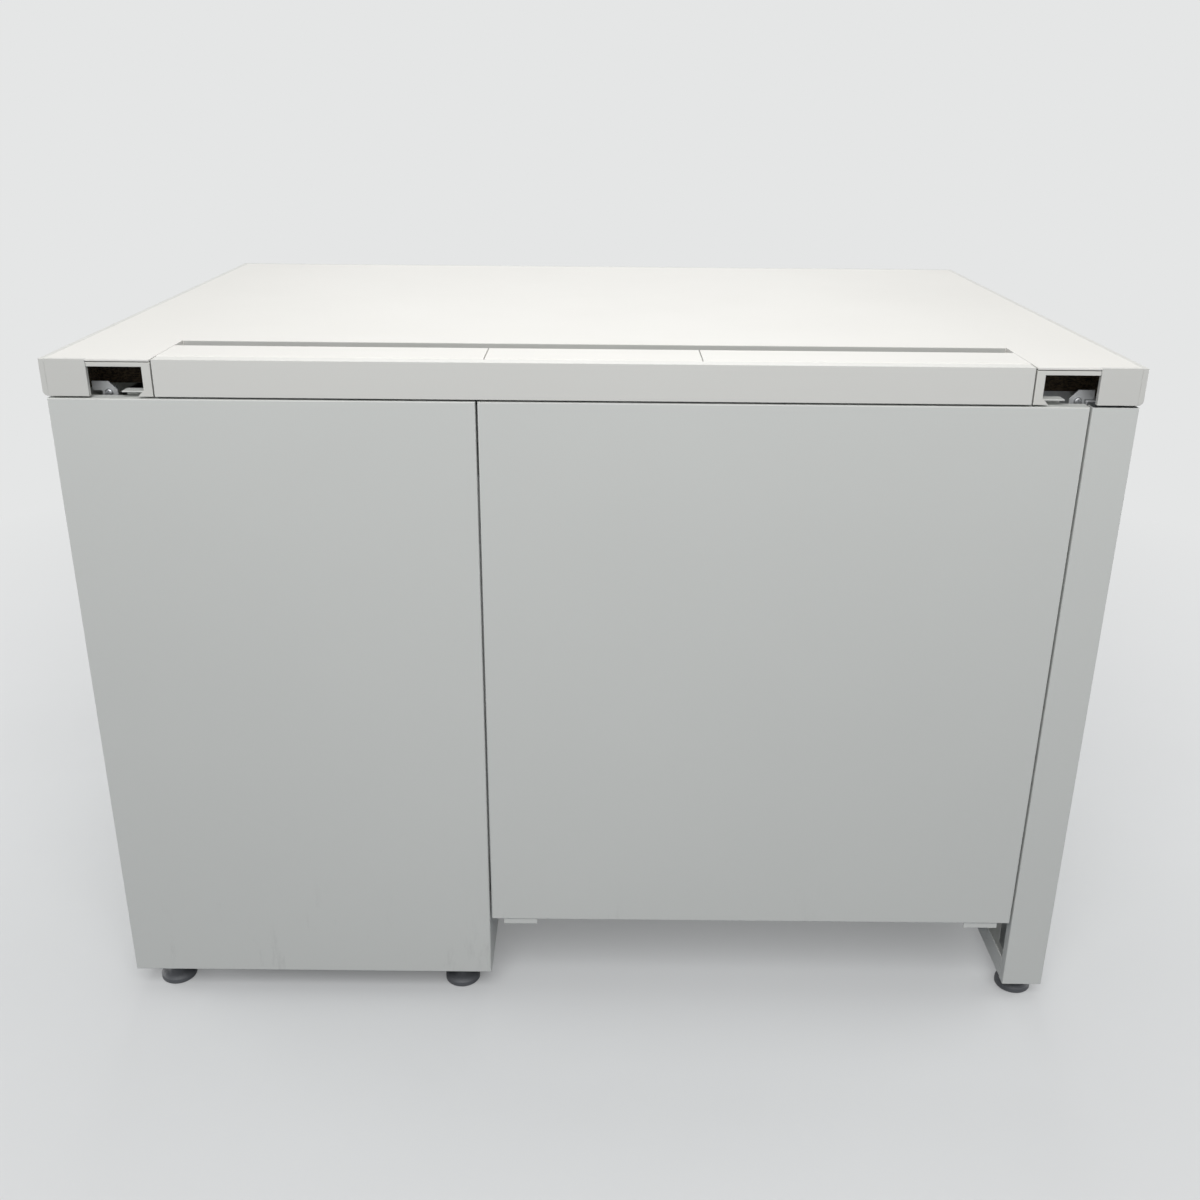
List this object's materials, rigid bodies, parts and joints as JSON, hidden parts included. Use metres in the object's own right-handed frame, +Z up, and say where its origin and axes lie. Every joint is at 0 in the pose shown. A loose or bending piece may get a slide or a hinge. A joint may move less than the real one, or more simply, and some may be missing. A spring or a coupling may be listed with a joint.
{
  "type": "single-pedestal office desk",
  "caption": "Flat-topped office desk with one drawer pedestal, a panel leg, a modesty panel, a rear cable slot with hinged flaps and levelling feet.",
  "frame": {"origin": "on the floor below the centre of the worktop", "axes": "+Z up, the user sits at -Y, +Y points to the rear with the cable slot, +X to the pedestal"},
  "size_m": [1, 0.7, 0.7],
  "materials": {
    "laminate": "satin white laminate",
    "edge_band": "satin white plastic",
    "steel_white": "fine-textured light grey powder coat",
    "zinc": "zinc-plated, satin",
    "plastic_white": "satin",
    "plastic_grey": "satin light grey",
    "foot_dark": "matt dark grey"
  },
  "bodies": {
    "frame": {"worktop_board": "laminate", "front_edge_band": "edge_band", "side_edge_bands": "edge_band", "rear_edge_bands": "edge_band", "slot_trim": "plastic_grey", "fascia_rail": "steel_white", "corner_bezels": "plastic_white", "corner_brackets": "zinc", "cable_duct": "steel_white", "hinge_blocks": "plastic_white", "hinge_pins": "zinc", "pedestal_right_side": "steel_white", "pedestal_left_side": "steel_white", "pedestal_back": "steel_white", "pedestal_base": "steel_white", "pedestal_top_frame": "steel_white", "lock_rail": "steel_white", "runner_posts": "zinc", "fixed_runners": "zinc", "lock_housing": "zinc", "centre_hangers": "zinc", "knee_rail": "zinc", "leg_panel": "steel_white", "leg_posts": "zinc", "leg_channel": "steel_white", "leg_top_bracket": "zinc", "modesty_panel": "steel_white", "modesty_brackets": "steel_white", "foot_nuts": "zinc"},
    "left_flap": {"left_flap": "laminate"},
    "middle_flap": {"middle_flap": "laminate"},
    "right_flap": {"right_flap": "laminate"},
    "top_drawer": {"top_drawer_box": "zinc", "top_drawer_front": "steel_white", "top_drawer_pull": "plastic_white", "top_drawer_runners": "zinc"},
    "top_mid": {"top_mid_members": "zinc"},
    "middle_drawer": {"middle_drawer_box": "zinc", "middle_drawer_front": "steel_white", "middle_drawer_pull": "plastic_white", "middle_drawer_runners": "zinc"},
    "middle_mid": {"middle_mid_members": "zinc"},
    "bottom_drawer": {"bottom_drawer_box": "zinc", "bottom_drawer_front": "steel_white", "bottom_drawer_pull": "plastic_white", "bottom_drawer_runners": "zinc"},
    "bottom_mid": {"bottom_mid_members": "zinc"},
    "centre_drawer": {"centre_drawer_box": "zinc", "centre_drawer_front": "steel_white", "centre_drawer_pull": "plastic_white", "centre_drawer_runners": "zinc"},
    "centre_lock": {"centre_lock": "zinc"},
    "lock_plug": {"lock_plug": "zinc"},
    "lock_bar": {"lock_bar": "zinc"},
    "foot_leg_front": {"foot_leg_front": "foot_dark"},
    "foot_leg_rear": {"foot_leg_rear": "foot_dark"},
    "foot_ped_front_left": {"foot_ped_front_left": "foot_dark"},
    "foot_ped_front_right": {"foot_ped_front_right": "foot_dark"},
    "foot_ped_rear_left": {"foot_ped_rear_left": "foot_dark"},
    "foot_ped_rear_right": {"foot_ped_rear_right": "foot_dark"}
  },
  "joints": [
    {"name": "left_flap_hinge", "type": "hinge", "parent": "frame", "child": "left_flap", "pos_m": [0, 0.3297, 0.6951], "axis": [-1, 0, 0], "range_deg": [0, 90]},
    {"name": "middle_flap_hinge", "type": "hinge", "parent": "frame", "child": "middle_flap", "pos_m": [0, 0.3297, 0.6951], "axis": [-1, 0, 0], "range_deg": [0, 90]},
    {"name": "right_flap_hinge", "type": "hinge", "parent": "frame", "child": "right_flap", "pos_m": [0, 0.3297, 0.6951], "axis": [-1, 0, 0], "range_deg": [0, 90]},
    {"name": "top_drawer_slide", "type": "slide", "parent": "frame", "child": "top_drawer", "axis": [0, -1, 0], "range_m": [0, 0.47]},
    {"name": "top_mid_slide", "type": "slide", "parent": "frame", "child": "top_mid", "axis": [0, -1, 0], "range_m": [0, 0.235]},
    {"name": "middle_drawer_slide", "type": "slide", "parent": "frame", "child": "middle_drawer", "axis": [0, -1, 0], "range_m": [0, 0.47]},
    {"name": "middle_mid_slide", "type": "slide", "parent": "frame", "child": "middle_mid", "axis": [0, -1, 0], "range_m": [0, 0.235]},
    {"name": "bottom_drawer_slide", "type": "slide", "parent": "frame", "child": "bottom_drawer", "axis": [0, -1, 0], "range_m": [0, 0.47]},
    {"name": "bottom_mid_slide", "type": "slide", "parent": "frame", "child": "bottom_mid", "axis": [0, -1, 0], "range_m": [0, 0.235]},
    {"name": "centre_drawer_slide", "type": "slide", "parent": "frame", "child": "centre_drawer", "axis": [0, -1, 0], "range_m": [0, 0.3]},
    {"name": "centre_lock_turn", "type": "hinge", "parent": "centre_drawer", "child": "centre_lock", "pos_m": [-0.1735, -0.33, 0.641], "axis": [0, 1, 0], "range_deg": [0, 90]},
    {"name": "lock_plug_turn", "type": "hinge", "parent": "frame", "child": "lock_plug", "pos_m": [0.4715, -0.33, 0.65], "axis": [0, -1, 0], "range_deg": [0, 90]},
    {"name": "lock_bar_lift", "type": "slide", "parent": "frame", "child": "lock_bar", "axis": [0, 0, 1], "range_m": [0, 0.008]},
    {"name": "foot_leg_front_height", "type": "slide", "parent": "frame", "child": "foot_leg_front", "axis": [0, 0, -1], "range_m": [0, 0.01]},
    {"name": "foot_leg_rear_height", "type": "slide", "parent": "frame", "child": "foot_leg_rear", "axis": [0, 0, -1], "range_m": [0, 0.01]},
    {"name": "foot_ped_front_left_height", "type": "slide", "parent": "frame", "child": "foot_ped_front_left", "axis": [0, 0, -1], "range_m": [0, 0.01]},
    {"name": "foot_ped_front_right_height", "type": "slide", "parent": "frame", "child": "foot_ped_front_right", "axis": [0, 0, -1], "range_m": [0, 0.01]},
    {"name": "foot_ped_rear_left_height", "type": "slide", "parent": "frame", "child": "foot_ped_rear_left", "axis": [0, 0, -1], "range_m": [0, 0.01]},
    {"name": "foot_ped_rear_right_height", "type": "slide", "parent": "frame", "child": "foot_ped_rear_right", "axis": [0, 0, -1], "range_m": [0, 0.01]}
  ],
  "couplings": [
    {"joint": "top_mid_slide", "follows": "top_drawer_slide", "ratio": 0.5},
    {"joint": "middle_mid_slide", "follows": "middle_drawer_slide", "ratio": 0.5},
    {"joint": "bottom_mid_slide", "follows": "bottom_drawer_slide", "ratio": 0.5},
    {"joint": "lock_plug_turn", "follows": "lock_bar_lift", "rad_per_m": 196.35}
  ]
}
